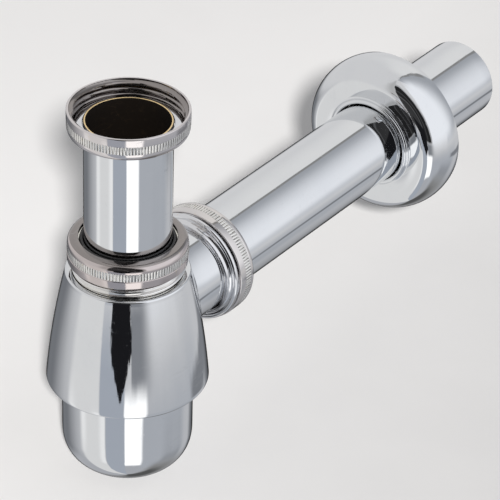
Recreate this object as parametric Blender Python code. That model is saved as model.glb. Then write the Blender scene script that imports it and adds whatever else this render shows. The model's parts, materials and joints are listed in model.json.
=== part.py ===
"""A chromed brass bottle trap for a basin: inlet tube, bell, unscrewing cup, outlet tube and wall flange.

Metres, +Z up. The origin is on the inlet axis, in the plane of the seat that the basin waste rests on. The
outlet runs along +Y. Every piece is turned round the inlet axis or the outlet axis.
"""

import math

import bmesh
import bpy
from mathutils import Vector

MM = 0.001

# Clearances
SLIDE_GAP = 0.3 * MM  # radial, between a piece and the one it slides, turns or is brazed in
STACK_GAP = 0.3 * MM  # axial, between pieces that bear on each other
THREAD_GAP = 0.3 * MM  # radial, between the crests of a nut's thread and of the spigot's
HOLE_GAP = 1.9 * MM  # radial, between a tube and the hole in a nut's shoulder
NECK_BORE_GAP = 1.0 * MM  # radial, between the inlet tube and the bore of the neck
CUP_HOLE_GAP = 0.75 * MM  # radial, between the cup and the hole in the bell's floor

# Tubes
TUBE_R = 16.0 * MM
TUBE_WALL = 0.8 * MM
LIP_HEIGHT = 0.8 * MM  # the inlet tube's mouth above the seat
LIP_ROLL = 0.2 * MM
COLLAR_WIDTH = 2.7 * MM
COLLAR_HEIGHT = 1.1 * MM
TUBE_SHOWN = 43.1 * MM  # bare inlet tube between its two nuts
OUTLET_TUBE_LENGTH = 191.2 * MM

# Nuts, all three turned to one pattern
NUT_HEIGHT = 9.35 * MM
NUT_WALL = 1.2 * MM
NUT_LIP = 1.6 * MM  # thickness of the shoulder round the hole
NUT_BAND = 6.2 * MM  # straight part of the side, up to the rounded shoulder
NUT_CHAMFER = 0.4 * MM
HOLE_RIM = 1.0 * MM  # flat ring round the hole

# G 1 1/4 pipe thread
PITCH = 2.309 * MM
THREAD_DEPTH = 1.0 * MM
UNION_THREAD_DEPTH = 1.2 * MM
ROOT_FLAT = 0.1  # of a pitch, at each side of a turn

# Seals and washers
SEAL_WIDTH = 3.4 * MM
SEAL_HEIGHT = 1.9 * MM
SEAL_SLEEVE = 1.1 * MM  # wall of the sleeve that stands up through the slip washer
SLEEVE_HEIGHT = 2.2 * MM
WASHER_HEIGHT = 0.7 * MM
GLIDE_HEIGHT = 0.6 * MM
CUP_SEAL_HEIGHT = 1.0 * MM

# Outlet branch and its threaded spigot
BRANCH_WALL = 1.0 * MM
SPIGOT_WALL = 2.9 * MM
BRANCH_MARGIN = 1.45 * MM  # bell above the branch
BRANCH_SHOWN = 13.2 * MM  # from the bell to the outlet nut
BEAD_R = 1.15 * MM
BEAD_STEP = 0.4 * MM  # the bead, inside the nut's edge
BEAD_FILLET = 4.4 * MM  # length of the spigot behind the nut
FILLET_EDGE = 0.3 * MM
TUBE_SETBACK = 0.6 * MM  # the outlet tube's end, clear of the bell

# Bell
BELL_TOP_STEP = 0.9 * MM  # the bell's top edge, outside the nut
BELL_BELOW_BRANCH = 9.2 * MM
BELL_LEDGE = 5.74 * MM  # widest edge, outside the cup
BELL_BULGE = 0.8 * MM
BELL_WALL = 1.0 * MM
BELL_EDGE = 0.8 * MM
NECK_SHOWN = 4.9 * MM

# Cup and the ring that it screws into
CUP_WATERWAY = 7.26 * MM
CUP_WALL = 0.9 * MM
CUP_SHOWN = 38.9 * MM
CUP_DOME = 17.1 * MM
CUP_DOME_POWER = 2.5  # 2 is an ellipse, and more is squarer
CUP_NECK_STEP = 1.26 * MM
CUP_THREAD_LENGTH = 4.1 * MM
SEAT_FLANGE = 1.4 * MM
SEAT_FLANGE_WIDTH = 2.4 * MM
DIP_GAP = 16.06 * MM  # under the inlet tube's lower end

# Wall flange
FLANGE_OFFSET = 102.8 * MM  # from the outlet nut to the flange's mouth
FLANGE_DEPTH = 18.45 * MM
FLANGE_R = 32.15 * MM
FLANGE_WALL = 0.9 * MM
FLANGE_LIP_GAP = 0.45 * MM
FLANGE_VALLEY_R = 0.8 * MM  # the hollow bend behind the lip
FLANGE_CREST_R = 24.8 * MM  # the foremost circle of the face
FLANGE_DISH = 0.84 * MM  # how far the face sinks from there to the hollow
FLANGE_RIM_BACK = 5.6 * MM  # from the widest circle to the wall
FLANGE_TUCK = 0.9 * MM
GRIP_WALL = 2.2 * MM
GRIP_LENGTH = 3.2 * MM

SEGMENTS = 28
ARC_STEPS = 3

# Radii that follow from the sizes above
branch_bore = TUBE_R + SLIDE_GAP
branch_r = branch_bore + BRANCH_WALL
spigot_bore = branch_r + SLIDE_GAP
spigot_r = spigot_bore + SPIGOT_WALL
nut_bore = spigot_r + THREAD_GAP
nut_r = nut_bore + NUT_WALL
nut_hole = TUBE_R + HOLE_GAP
collar_r = TUBE_R + SLIDE_GAP + COLLAR_WIDTH
seal_r = TUBE_R + SLIDE_GAP + SEAL_WIDTH
sleeve_r = TUBE_R + SLIDE_GAP + SEAL_SLEEVE
neck_bore = TUBE_R + NECK_BORE_GAP
skirt_r = spigot_r - SLIDE_GAP
cup_r = TUBE_R + CUP_WATERWAY + CUP_WALL
cup_neck_r = cup_r - CUP_NECK_STEP
cup_neck_bore = cup_neck_r - CUP_WALL
seat_bore = cup_r + SLIDE_GAP
bell_top_r = nut_r + BELL_TOP_STEP
bell_r = cup_r + BELL_LEDGE

# Heights on the inlet axis, from the seat down
glide_top = -COLLAR_HEIGHT - STACK_GAP
union_floor = glide_top - GLIDE_HEIGHT - STACK_GAP
union_bottom = union_floor - NUT_LIP
union_rim = union_bottom + NUT_HEIGHT
body_nut_top = union_bottom - TUBE_SHOWN
body_nut_edge = body_nut_top - NUT_HEIGHT
nut_stack = NUT_LIP + WASHER_HEIGHT + SEAL_HEIGHT + 3 * STACK_GAP  # from a nut's shoulder to the spigot
neck_top = body_nut_top - nut_stack
bell_top = body_nut_edge - NECK_SHOWN
outlet_z = bell_top - BRANCH_MARGIN - branch_r
skirt_bottom = outlet_z + branch_bore  # level with the top of the branch, clear of the tube in it
bell_widest = outlet_z - branch_r - BELL_BELOW_BRANCH
bell_bottom = bell_widest - BELL_EDGE
bell_floor = bell_bottom + BELL_WALL
cup_shoulder = bell_floor
cup_neck_top = cup_shoulder + CUP_THREAD_LENGTH
cup_seal_top = cup_neck_top + STACK_GAP + CUP_SEAL_HEIGHT
seat_step = cup_seal_top + STACK_GAP
seat_top = seat_step + SEAT_FLANGE
cup_bottom = bell_bottom - CUP_SHOWN
tube_bottom = cup_bottom + CUP_WALL + DIP_GAP


def arc(centre_r, centre_h, radius, start, end, steps=ARC_STEPS):
    """Points of an arc in an outline, between two angles in degrees, 0 pointing away from the axis."""
    angles = [math.radians(start + (end - start) * step / steps) for step in range(steps + 1)]
    return [(centre_r + radius * math.cos(a), centre_h + radius * math.sin(a)) for a in angles]


def oval(centre_r, centre_h, width, height, start, end, power=2.0, steps=ARC_STEPS):
    """Points of an oval quarter, squarer than an ellipse where power is over 2."""
    points = []
    for step in range(steps + 1):
        angle = math.radians(start + (end - start) * step / steps)
        cos, sin = math.cos(angle), math.sin(angle)
        out = math.copysign(abs(cos) ** (2 / power), cos) if abs(cos) > 1e-9 else 0.0
        up = math.copysign(abs(sin) ** (2 / power), sin) if abs(sin) > 1e-9 else 0.0
        points.append((centre_r + width * out, centre_h + height * up))
    return points


def offset(path, distance):
    """The path moved to the right of its direction of travel, with mitred corners."""
    moved = []
    for i, point in enumerate(path):
        here = Vector(point)
        before = (here - Vector(path[i - 1])).normalized() if i else None
        after = (Vector(path[i + 1]) - here).normalized() if i + 1 < len(path) else None
        sides = [Vector((d.y, -d.x)) for d in (before, after) if d is not None]
        side = sum(sides, Vector((0, 0))).normalized()
        moved.append(tuple(here + side * distance / side.dot(sides[0])))
    return moved


def ridges(root_r, crest_r, start, end):
    """Thread turns as rings of one pitch each, as many as fit, with flats at the roots."""
    step = math.copysign(PITCH, end - start)
    turns = int(abs(end - start) / PITCH)
    points = []
    for turn in range(turns):
        foot = start + turn * step
        points += [(root_r, foot + ROOT_FLAT * step), (crest_r, foot + step / 2)]
    return points + [(root_r, start + (turns - ROOT_FLAT) * step)]


def material(name, colour, roughness, metallic):
    made = bpy.data.materials.new(name)
    made.use_nodes = True
    shader = made.node_tree.nodes["Principled BSDF"]
    shader.inputs["Base Color"].default_value = (*colour, 1)
    shader.inputs["Roughness"].default_value = roughness
    shader.inputs["Metallic"].default_value = metallic
    made.diffuse_color = (*colour, 1)
    return made


def turned(name, outline, finish, axis):
    """A piece turned round an axis empty from a closed outline of (radius, height) points."""
    mesh = bpy.data.meshes.new(name)
    form = bmesh.new()
    corners = [form.verts.new((radius, 0, height)) for radius, height in outline]
    on_axis = [radius < 1e-7 for radius, _ in outline]
    edges = []
    for i, corner in enumerate(corners):
        following = (i + 1) % len(corners)
        if not (on_axis[i] and on_axis[following]):
            edges.append(form.edges.new((corner, corners[following])))
    full_turn = {"cent": (0, 0, 0), "axis": (0, 0, 1), "angle": 2 * math.pi, "steps": SEGMENTS}
    bmesh.ops.spin(form, geom=corners + edges, **full_turn)
    bmesh.ops.remove_doubles(form, verts=form.verts, dist=1e-7)
    bmesh.ops.recalc_face_normals(form, faces=form.faces)
    form.to_mesh(mesh)
    form.free()
    mesh.shade_smooth()
    mesh.set_sharp_from_angle(angle=math.radians(30))
    mesh.materials.append(finish)
    piece = bpy.data.objects.new(name, mesh)
    bpy.context.collection.objects.link(piece)
    piece.parent = axis
    return piece


def cut(piece, cutter):
    """Takes the cutter's shape out of the piece, and leaves the cutter as a guide."""
    cutter.hide_render = True
    cutter.display_type = "WIRE"
    boolean = piece.modifiers.new(cutter.name, "BOOLEAN")
    boolean.operation = "DIFFERENCE"
    boolean.object = cutter


def axis_empty(name, height, along_y):
    empty = bpy.data.objects.new(name, None)
    bpy.context.collection.objects.link(empty)
    empty.location.z = height
    empty.rotation_euler.x = -math.pi / 2 if along_y else 0
    return empty


def ring(inner_r, outer_r, bottom, top):
    return [(inner_r, bottom), (outer_r, bottom), (outer_r, top), (inner_r, top)]


def tube(start, end):
    return ring(TUBE_R - TUBE_WALL, TUBE_R, start, end)


def nut(open_edge, direction, thread_crest):
    """Outline of a slip nut, with its shoulder at open_edge + direction * NUT_HEIGHT."""
    rim = nut_hole + HOLE_RIM
    outside = [(nut_r - NUT_CHAMFER, 0), (nut_r, NUT_CHAMFER)]
    outside += oval(rim, NUT_BAND, nut_r - rim, NUT_HEIGHT - NUT_BAND, 0, 90)
    floor = NUT_HEIGHT - NUT_LIP
    root_r = nut_bore + NUT_WALL / 4
    inside = [(nut_hole, NUT_HEIGHT), (nut_hole, floor), (root_r, floor)]
    inside += ridges(root_r, thread_crest, floor, 0) + [(root_r, 0)]
    return [(radius, open_edge + direction * height) for radius, height in outside + inside]


def seal(seat, direction):
    """Outline of a tube seal: a flat ring with a sleeve that shows in the nut's hole."""
    inner_r = TUBE_R + SLIDE_GAP
    heights = [(inner_r, 0), (seal_r, 0), (seal_r, SEAL_HEIGHT), (sleeve_r, SEAL_HEIGHT)]
    heights += [(sleeve_r, SEAL_HEIGHT + SLEEVE_HEIGHT), (inner_r, SEAL_HEIGHT + SLEEVE_HEIGHT)]
    return [(radius, seat + direction * height) for radius, height in heights]


def slip_washer(seal_seat, direction):
    """Outline of the hard washer between a tube seal and the nut's shoulder."""
    near = seal_seat + direction * (SEAL_HEIGHT + STACK_GAP)
    return ring(sleeve_r + SLIDE_GAP, seal_r, near, near + direction * WASHER_HEIGHT)


def bell_side(steps=5):
    """The bell's outer side, a shallow arc from its top edge down to its widest circle."""
    top, widest = Vector((bell_top_r, bell_top - BELL_EDGE)), Vector((bell_r, bell_widest))
    chord = widest - top
    out = Vector((-chord.y, chord.x)).normalized()
    points = []
    for step in range(steps + 1):
        share = step / steps
        points.append(tuple(top + chord * share + out * BELL_BULGE * 4 * share * (1 - share)))
    return points


def bell_radius(height):
    """The bell's outer radius at a height."""
    side = bell_side()
    for (upper_r, upper), (lower_r, lower) in zip(side, side[1:]):
        if upper >= height >= lower:
            return upper_r + (lower_r - upper_r) * (upper - height) / (upper - lower)
    return bell_r


def bell_outer():
    top = [(skirt_r + SLIDE_GAP, bell_top)]
    top += arc(bell_top_r - BELL_EDGE, bell_top - BELL_EDGE, BELL_EDGE, 90, 18, 2)
    edge = arc(bell_r - BELL_EDGE, bell_widest, BELL_EDGE, -30, -90, 2)
    return top + bell_side() + edge + [(cup_r + CUP_HOLE_GAP, bell_bottom)]


def cup_outer():
    neck = [(cup_neck_r, cup_neck_top), (cup_neck_r, cup_shoulder + CUP_NECK_STEP / 4)]
    body = [(cup_r, cup_shoulder - CUP_NECK_STEP / 2)]
    return neck + body + oval(0, cup_bottom + CUP_DOME, cup_r, CUP_DOME, 0, -90, CUP_DOME_POWER, 7)


def flange_outer(mouth):
    """The flange's face, from its turned lip out over the crest to its edge at the wall."""
    lip_r = FLANGE_WALL
    lip_inner = TUBE_R + FLANGE_LIP_GAP
    valley_centre = lip_inner + 2 * lip_r + FLANGE_VALLEY_R
    crest = mouth + lip_r
    floor = crest + FLANGE_DISH
    back = mouth + FLANGE_DEPTH
    widest = back - FLANGE_RIM_BACK
    path = arc(lip_inner + lip_r, mouth + lip_r, lip_r, 200, 360)
    path += arc(valley_centre, floor - FLANGE_VALLEY_R, FLANGE_VALLEY_R, 180, 90)
    dish_width = FLANGE_CREST_R - valley_centre
    for share in (0.25, 0.5, 0.75):
        path.append((valley_centre + dish_width * share, crest + FLANGE_DISH * (1 - share) ** 2))
    path += oval(FLANGE_CREST_R, widest, FLANGE_R - FLANGE_CREST_R, widest - crest, -90, 0, 2.0, 5)
    return path + [(FLANGE_R - FLANGE_TUCK / 3, back - FLANGE_RIM_BACK / 2), (FLANGE_R - FLANGE_TUCK, back)]


def square_back(path, inner_path):
    """Closes a shell whose last two points must share a flat face square to the axis."""
    back = path[-1][1]
    return path + [(inner_path[-1][0], back)] + inner_path[-2::-1]


for scene_object in list(bpy.data.objects):
    bpy.data.objects.remove(scene_object)

chrome = material("chrome", (0.74, 0.75, 0.77), 0.08, 1.0)
nut_chrome = material("nut_chrome", (0.72, 0.69, 0.68), 0.12, 1.0)
brass = material("brass", (0.72, 0.52, 0.24), 0.3, 1.0)
rubber = material("rubber", (0.02, 0.02, 0.022), 0.6, 0.0)
nylon = material("nylon", (0.75, 0.74, 0.7), 0.45, 0.0)

inlet_axis = axis_empty("inlet_axis", 0, False)
outlet_axis = axis_empty("outlet_axis", outlet_z, True)

# Inlet: a drawn tube that hangs from the basin waste and dips into the cup
mouth = arc(TUBE_R - LIP_ROLL, LIP_HEIGHT - LIP_ROLL, LIP_ROLL, 0, 90, 2)
tube_bore = TUBE_R - TUBE_WALL
inlet_tube = [(tube_bore, tube_bottom), (TUBE_R, tube_bottom), *mouth, (tube_bore, LIP_HEIGHT)]
turned("inlet_tube", inlet_tube, chrome, inlet_axis)
turned("inlet_tube_collar", ring(TUBE_R + SLIDE_GAP, collar_r, -COLLAR_HEIGHT, 0), chrome, inlet_axis)
glide_ring = ring(TUBE_R + SLIDE_GAP, collar_r, glide_top - GLIDE_HEIGHT, glide_top)
turned("inlet_glide_ring", glide_ring, nylon, inlet_axis)
union_crest = nut_bore - UNION_THREAD_DEPTH
turned("inlet_union_nut", nut(union_rim, -1, union_crest), nut_chrome, inlet_axis)

# Neck: the nut that squeezes the seal between the inlet tube and the body
turned("body_nut", nut(body_nut_edge, 1, nut_bore), nut_chrome, inlet_axis)
neck_seat = neck_top + STACK_GAP
turned("neck_seal", seal(neck_seat, 1), rubber, inlet_axis)
turned("neck_slip_washer", slip_washer(neck_seat, 1), nylon, inlet_axis)
thread_end = bell_top + STACK_GAP
neck_ring = [(neck_bore, neck_top), (spigot_r - THREAD_DEPTH, neck_top)]
neck_ring += ridges(spigot_r - THREAD_DEPTH, spigot_r, neck_top, thread_end)
neck_ring += [(spigot_r - THREAD_DEPTH, thread_end), (skirt_r, thread_end)]
neck_ring += [(skirt_r, skirt_bottom), (neck_bore, skirt_bottom)]
turned("neck_ring", neck_ring, chrome, inlet_axis)

# Body: a spun bell, with a stub brazed into its side and a threaded ring in its floor
bell_skin = bell_outer()
bell = turned("trap_body", bell_skin + offset(bell_skin, BELL_WALL)[::-1], chrome, inlet_axis)
nut_y = bell_radius(outlet_z) + BRANCH_SHOWN
spigot_end = nut_y + NUT_HEIGHT - nut_stack
branch = turned("outlet_branch", ring(branch_bore, branch_r, 0, spigot_end), chrome, outlet_axis)
branch_hole = [(0, 0), (branch_bore, 0), (branch_bore, nut_y), (0, nut_y)]
cut(bell, turned("branch_hole", branch_hole, chrome, outlet_axis))
saddle = [(radius + STACK_GAP, height) for radius, height in bell_side()]
saddle_top = saddle[0][1] + BELL_EDGE
saddle = [(0, saddle_top), (saddle[0][0], saddle_top), *saddle, (0, saddle[-1][1])]
cut(branch, turned("bell_saddle", saddle, chrome, inlet_axis))

seat_r = bell_radius(seat_top) - BELL_WALL - 2 * SLIDE_GAP
seat_root = seat_bore + THREAD_DEPTH
seat_ring = [(seat_root, bell_floor + STACK_GAP), (seat_r, bell_floor + STACK_GAP), (seat_r, seat_top)]
seat_ring += [(seat_bore - SEAT_FLANGE_WIDTH, seat_top), (seat_bore - SEAT_FLANGE_WIDTH, seat_step)]
seat_ring += [(seat_root, seat_step), *ridges(seat_root, seat_bore, seat_step, bell_floor + STACK_GAP)]
turned("cup_seat_ring", seat_ring, brass, inlet_axis)

# Cup: a pressed bottle with a threaded ring round its neck
cup_skin = cup_outer()
cup_lining = offset(cup_skin, CUP_WALL)[:-1]
cup_lining.append((0, cup_bottom + CUP_WALL))
turned("bottle_cup", cup_skin + cup_lining[::-1], chrome, inlet_axis)
cup_ring_bore = cup_neck_r + SLIDE_GAP
cup_ring_foot = cup_shoulder + CUP_NECK_STEP / 4 + STACK_GAP
cup_ring_root = cup_r - (cup_r - cup_ring_bore) / 2
cup_ring = [(cup_ring_bore, cup_neck_top), (cup_ring_root, cup_neck_top)]
cup_ring += ridges(cup_ring_root, cup_r, cup_neck_top, cup_ring_foot)
cup_ring += [(cup_ring_root, cup_ring_foot), (cup_ring_bore, cup_ring_foot)]
turned("cup_thread_ring", cup_ring, brass, inlet_axis)
cup_seal = ring(cup_neck_bore, cup_r, cup_neck_top + STACK_GAP, cup_seal_top)
turned("cup_seal", cup_seal, rubber, inlet_axis)

# Outlet: spigot ring, nut, washer, seal and tube
fillet_start = nut_y - BEAD_FILLET
bead_h = nut_y - STACK_GAP - BEAD_R
bead_r = nut_r - BEAD_STEP - BEAD_R
spigot = [(spigot_bore, fillet_start), (spigot_bore + FILLET_EDGE, fillet_start)]
spigot += arc(bead_r, bead_h, BEAD_R, 180, 450, 5)
spigot += [(spigot_r - THREAD_DEPTH, bead_h + BEAD_R)]
spigot += ridges(spigot_r - THREAD_DEPTH, spigot_r, bead_h + BEAD_R, spigot_end)
spigot += [(spigot_r - THREAD_DEPTH, spigot_end), (spigot_bore, spigot_end)]
turned("outlet_spigot", spigot, chrome, outlet_axis)
turned("outlet_nut", nut(nut_y, 1, nut_bore), nut_chrome, outlet_axis)
outlet_seat = spigot_end + STACK_GAP
turned("outlet_seal", seal(outlet_seat, 1), rubber, outlet_axis)
turned("outlet_slip_washer", slip_washer(outlet_seat, 1), nylon, outlet_axis)
tube_start = bell_radius(outlet_z) + TUBE_SETBACK
turned("outlet_tube", tube(tube_start, tube_start + OUTLET_TUBE_LENGTH), chrome, outlet_axis)

# Wall flange: a pressed dish, held on the tube by a ring at the back of its lip
flange_mouth = nut_y + NUT_HEIGHT + FLANGE_OFFSET
flange_skin = flange_outer(flange_mouth)
flange = square_back(flange_skin, offset(flange_skin, -FLANGE_WALL))
turned("wall_flange", flange, chrome, outlet_axis)
grip_start = flange_mouth + 2 * FLANGE_WALL + FLANGE_DISH + STACK_GAP
grip_bore = TUBE_R + SLIDE_GAP
grip_ring = ring(grip_bore, grip_bore + GRIP_WALL, grip_start, grip_start + GRIP_LENGTH)
turned("flange_grip_ring", grip_ring, rubber, outlet_axis)
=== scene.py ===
"""The looks of a chromed bottle trap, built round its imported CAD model."""

import json
import math

import bmesh
import bpy
import numpy as np
from mathutils import Matrix, Vector


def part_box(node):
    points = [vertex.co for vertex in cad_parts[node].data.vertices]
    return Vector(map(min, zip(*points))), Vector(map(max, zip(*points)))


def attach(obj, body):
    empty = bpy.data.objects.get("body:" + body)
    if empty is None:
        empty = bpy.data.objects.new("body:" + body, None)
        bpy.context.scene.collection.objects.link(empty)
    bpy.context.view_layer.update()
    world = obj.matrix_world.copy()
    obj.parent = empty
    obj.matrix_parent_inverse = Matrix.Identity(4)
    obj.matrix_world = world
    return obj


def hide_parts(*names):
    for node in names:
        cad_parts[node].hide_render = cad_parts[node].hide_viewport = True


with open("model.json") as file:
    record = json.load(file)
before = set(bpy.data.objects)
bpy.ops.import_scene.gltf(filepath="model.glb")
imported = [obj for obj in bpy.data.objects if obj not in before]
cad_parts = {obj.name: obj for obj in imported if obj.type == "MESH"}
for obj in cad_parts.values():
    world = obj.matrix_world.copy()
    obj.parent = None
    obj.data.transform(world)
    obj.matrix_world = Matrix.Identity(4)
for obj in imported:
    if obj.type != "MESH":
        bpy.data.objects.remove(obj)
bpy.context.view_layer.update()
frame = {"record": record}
MM = 0.001


# ---- Inlet tube --------------------------------------------------------------------------------
# Drawn brass tube, chromed and polished outside, that hangs from the basin waste and dips into the cup.
# Its bore is bare brass, tarnished, and painted near black as painted shade inside the tube; the cut lip
# shows a thin line of clean brass.

def rounded(corners, turns=5):
    """Points of a closed outline through (radius, height, fillet) corners, each rounded by its fillet."""
    points = []
    for i, (radius, height, fillet) in enumerate(corners):
        here = Vector((radius, height))
        back = Vector(corners[i - 1][:2]) - here
        on = Vector(corners[(i + 1) % len(corners)][:2]) - here
        if fillet == 0:
            points.append(tuple(here))
            continue
        half = back.angle(on) / 2
        reach = min(fillet / math.tan(half), 0.48 * back.length, 0.48 * on.length)
        bend = reach * math.tan(half)
        centre = here + (back.normalized() + on.normalized()).normalized() * bend / math.sin(half)
        start, end = here + back.normalized() * reach, here + on.normalized() * reach
        for step in range(turns + 1):
            spoke = start.lerp(end, step / turns) - centre
            points.append(tuple(centre + spoke.normalized() * bend))
    return points


def spaced(points, longest):
    """The same closed outline with extra points, so that no side is longer than this."""
    groove_shade_patches = []
    for i, point in enumerate(points):
        here, after = Vector(point), Vector(points[(i + 1) % len(points)])
        pieces = max(1, math.ceil((after - here).length / longest))
        groove_shade_patches += [tuple(here.lerp(after, step / pieces)) for step in range(pieces)]
    return groove_shade_patches


def turned(name, outline, finishes, steps=192, swell=None, finish_at=None):
    """A piece turned round its own Z axis. swell(radius, height, angles) gives the radius at each angle."""
    angles = np.arange(steps) * 2 * math.pi / steps
    rings = []
    for radius, height in outline:
        radii = np.full(steps, radius) if swell is None or radius < 1e-7 else swell(radius, height, angles)
        rings.append(np.stack([radii * np.cos(angles), radii * np.sin(angles), np.full(steps, height)], 1))
    count = len(outline)
    faces = []
    for ring in range(count):
        following = (ring + 1) % count
        if outline[ring][0] < 1e-7 and outline[following][0] < 1e-7:
            continue
        for step in range(steps):
            beside = (step + 1) % steps
            corners = (ring * steps + step, ring * steps + beside)
            faces.append((*corners, following * steps + beside, following * steps + step))
    mesh = bpy.data.meshes.new(name)
    mesh.from_pydata(np.concatenate(rings).tolist(), [], faces)
    form = bmesh.new()
    form.from_mesh(mesh)
    bmesh.ops.remove_doubles(form, verts=form.verts, dist=1e-7)
    bmesh.ops.recalc_face_normals(form, faces=form.faces)
    form.to_mesh(mesh)
    form.free()
    mesh.shade_smooth()
    mesh.set_sharp_from_angle(angle=math.radians(40))
    for finish in finishes:
        mesh.materials.append(finish)
    if finish_at is not None:
        for face in mesh.polygons:
            centre = face.center
            face.material_index = finish_at(math.hypot(centre.x, centre.y), centre.z)
    piece = bpy.data.objects.new(name, mesh)
    bpy.context.scene.collection.objects.link(piece)
    return piece


EASED = 0.15 * MM


def ring_piece(name, inner, outer, low, high, finish):
    """A plain turned ring with eased edges, between two radii and two heights."""
    corners = [(inner, low, EASED), (outer, low, EASED), (outer, high, EASED), (inner, high, EASED)]
    return turned(name, rounded(corners), [finish])


def stands_for(piece, node):
    """The piece takes the place of its CAD node, on the same body."""
    bodies = frame["record"]["behaviour"]["bodies"]
    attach(piece, next(body for body, nodes in bodies.items() if node in nodes))
    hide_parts(node)
    return piece


def add(tree, kind, inputs=None, **settings):
    """A node with its settings, and with each named input linked to a socket or set to a value."""
    node = tree.nodes.new(kind)
    for key, value in settings.items():
        setattr(node, key, value)
    for key, value in (inputs or {}).items():
        if isinstance(value, bpy.types.NodeSocket):
            tree.links.new(value, node.inputs[key])
        else:
            node.inputs[key].default_value = value
    return node


def calc(tree, operation, *values):
    """A Math node on sockets and numbers; gives its result."""
    node = tree.nodes.new("ShaderNodeMath")
    node.operation = operation
    for slot, value in enumerate(values):
        if isinstance(value, bpy.types.NodeSocket):
            tree.links.new(value, node.inputs[slot])
        else:
            node.inputs[slot].default_value = value
    return node.outputs[0]


def blend(tree, share, first, second):
    """A colour mixed from the first to the second by a share."""
    node = tree.nodes.new("ShaderNodeMix")
    node.data_type = "RGBA"
    for slot, value in ((0, share), (6, first), (7, second)):
        if isinstance(value, bpy.types.NodeSocket):
            tree.links.new(value, node.inputs[slot])
        else:
            node.inputs[slot].default_value = value if slot == 0 else (*value, 1)
    return node.outputs[2]


def fit(tree, value, low, high, to_low=0.0, to_high=1.0, kind="SMOOTHSTEP"):
    """A value's range mapped to another one, and held at its ends."""
    inputs = {"Value": value, "From Min": low, "From Max": high, "To Min": to_low, "To Max": to_high}
    return add(tree, "ShaderNodeMapRange", inputs, interpolation_type=kind).outputs["Result"]


def noise(tree, vector, scale, detail=3.0, roughness=0.5):
    inputs = {"Vector": vector, "Scale": scale, "Detail": detail, "Roughness": roughness}
    return add(tree, "ShaderNodeTexNoise", inputs).outputs["Fac"]


def new_group(name, takes, gives):
    """An empty shader group with these named inputs (with defaults) and outputs, and its two end nodes."""
    group = bpy.data.node_groups.new(name, "ShaderNodeTree")
    kinds = {"Vector": "NodeSocketVector", "Color": "NodeSocketColor", "Normal": "NodeSocketVector"}
    for way, titles in (("INPUT", takes), ("OUTPUT", gives)):
        for title in titles:
            kind = kinds.get(title, "NodeSocketFloat")
            socket = group.interface.new_socket(title, in_out=way, socket_type=kind)
            if way == "INPUT" and takes[title] is not None:
                socket.default_value = takes[title]
    return group, group.nodes.new("NodeGroupInput"), group.nodes.new("NodeGroupOutput")


def use(tree, group, inputs):
    node = tree.nodes.new("ShaderNodeGroup")
    node.node_tree = group
    for key, value in inputs.items():
        if isinstance(value, bpy.types.NodeSocket):
            tree.links.new(value, node.inputs[key])
        else:
            node.inputs[key].default_value = value
    return node


def product(tree, *values):
    """Several values multiplied together."""
    result = values[0]
    for value in values[1:]:
        result = calc(tree, "MULTIPLY", result, value)
    return result


def bumped(tree, strength, distance, height, under=None, **settings):
    """The normal with a height laid over it."""
    inputs = {"Strength": strength, "Distance": distance, "Height": height}
    if under is not None:
        inputs["Normal"] = under
    return add(tree, "ShaderNodeBump", inputs, **settings).outputs[0]


def new_material(name):
    """A material with its node tree, its shader's inputs and the object's own coordinates."""
    made = bpy.data.materials.new(name)
    made.use_nodes = True
    tree = made.node_tree
    where = add(tree, "ShaderNodeTexCoord").outputs["Object"]
    return made, tree, tree.nodes["Principled BSDF"].inputs, where


# Coordinates round a turned piece's axis, squeezed so that a noise in them runs in rings, and the angle.
RING_SQUEEZE = 0.0006
rings, ends, out = new_group("round_the_axis", {"Vector": None}, ["Vector", "Turn"])
across, over, along = add(rings, "ShaderNodeSeparateXYZ", {"Vector": ends.outputs["Vector"]}).outputs
radius = calc(rings, "SQRT", calc(rings, "ADD", product(rings, across, across), product(rings, over, over)))
angle = calc(rings, "ARCTAN2", over, across)
squeezed = {"X": radius, "Y": product(rings, angle, RING_SQUEEZE), "Z": along}
rings.links.new(add(rings, "ShaderNodeCombineXYZ", squeezed).outputs[0], out.inputs["Vector"])
rings.links.new(angle, out.inputs["Turn"])

# Fine hairline scratches at all angles, thin and broken, kept to patches where the piece has been handled.
scratches, ends, out = new_group("hairline_scratches", {"Vector": None, "Amount": 1.0}, ["Mask"])
lines = None
for turn_at, stretch, scale in ((0.4, 0.08, 520.0), (1.3, 0.06, 760.0), (2.5, 0.1, 430.0)):
    mapped = add(scratches, "ShaderNodeMapping", {"Vector": ends.outputs["Vector"]})
    mapped.inputs["Rotation"].default_value = (turn_at, turn_at * 0.7, turn_at * 1.9)
    mapped.inputs["Scale"].default_value = (1, stretch, 1)
    inputs = {"Vector": mapped.outputs[0], "Scale": scale}
    cells = add(scratches, "ShaderNodeTexVoronoi", inputs, feature="DISTANCE_TO_EDGE")
    line = fit(scratches, cells.outputs["Distance"], 0.012, 0.03, 1.0, 0.0)
    broken = fit(scratches, noise(scratches, mapped.outputs[0], scale * 0.6, 1.0), 0.56, 0.66)
    line = product(scratches, line, broken)
    lines = line if lines is None else calc(scratches, "MAXIMUM", lines, line)
handled = fit(scratches, noise(scratches, ends.outputs["Vector"], 60.0, 2.0), 0.42, 0.62, 0.25, 1.0)
scratches.links.new(product(scratches, lines, handled, ends.outputs["Amount"]), out.inputs["Mask"])

# Wear that comes first on outer edges and corners, broken up by noise.
wear, ends, out = new_group("edge_wear", {"Vector": None, "Amount": 1.0}, ["Mask"])
edge = fit(wear, add(wear, "ShaderNodeNewGeometry").outputs["Pointiness"], 0.53, 0.6)
patchy = fit(wear, noise(wear, ends.outputs["Vector"], 900.0, 4.0), 0.45, 0.65)
wear.links.new(product(wear, edge, patchy, ends.outputs["Amount"]), out.inputs["Mask"])


def mask(tree, group, vector, amount):
    return use(tree, group, {"Vector": vector, "Amount": amount}).outputs["Mask"]


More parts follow.
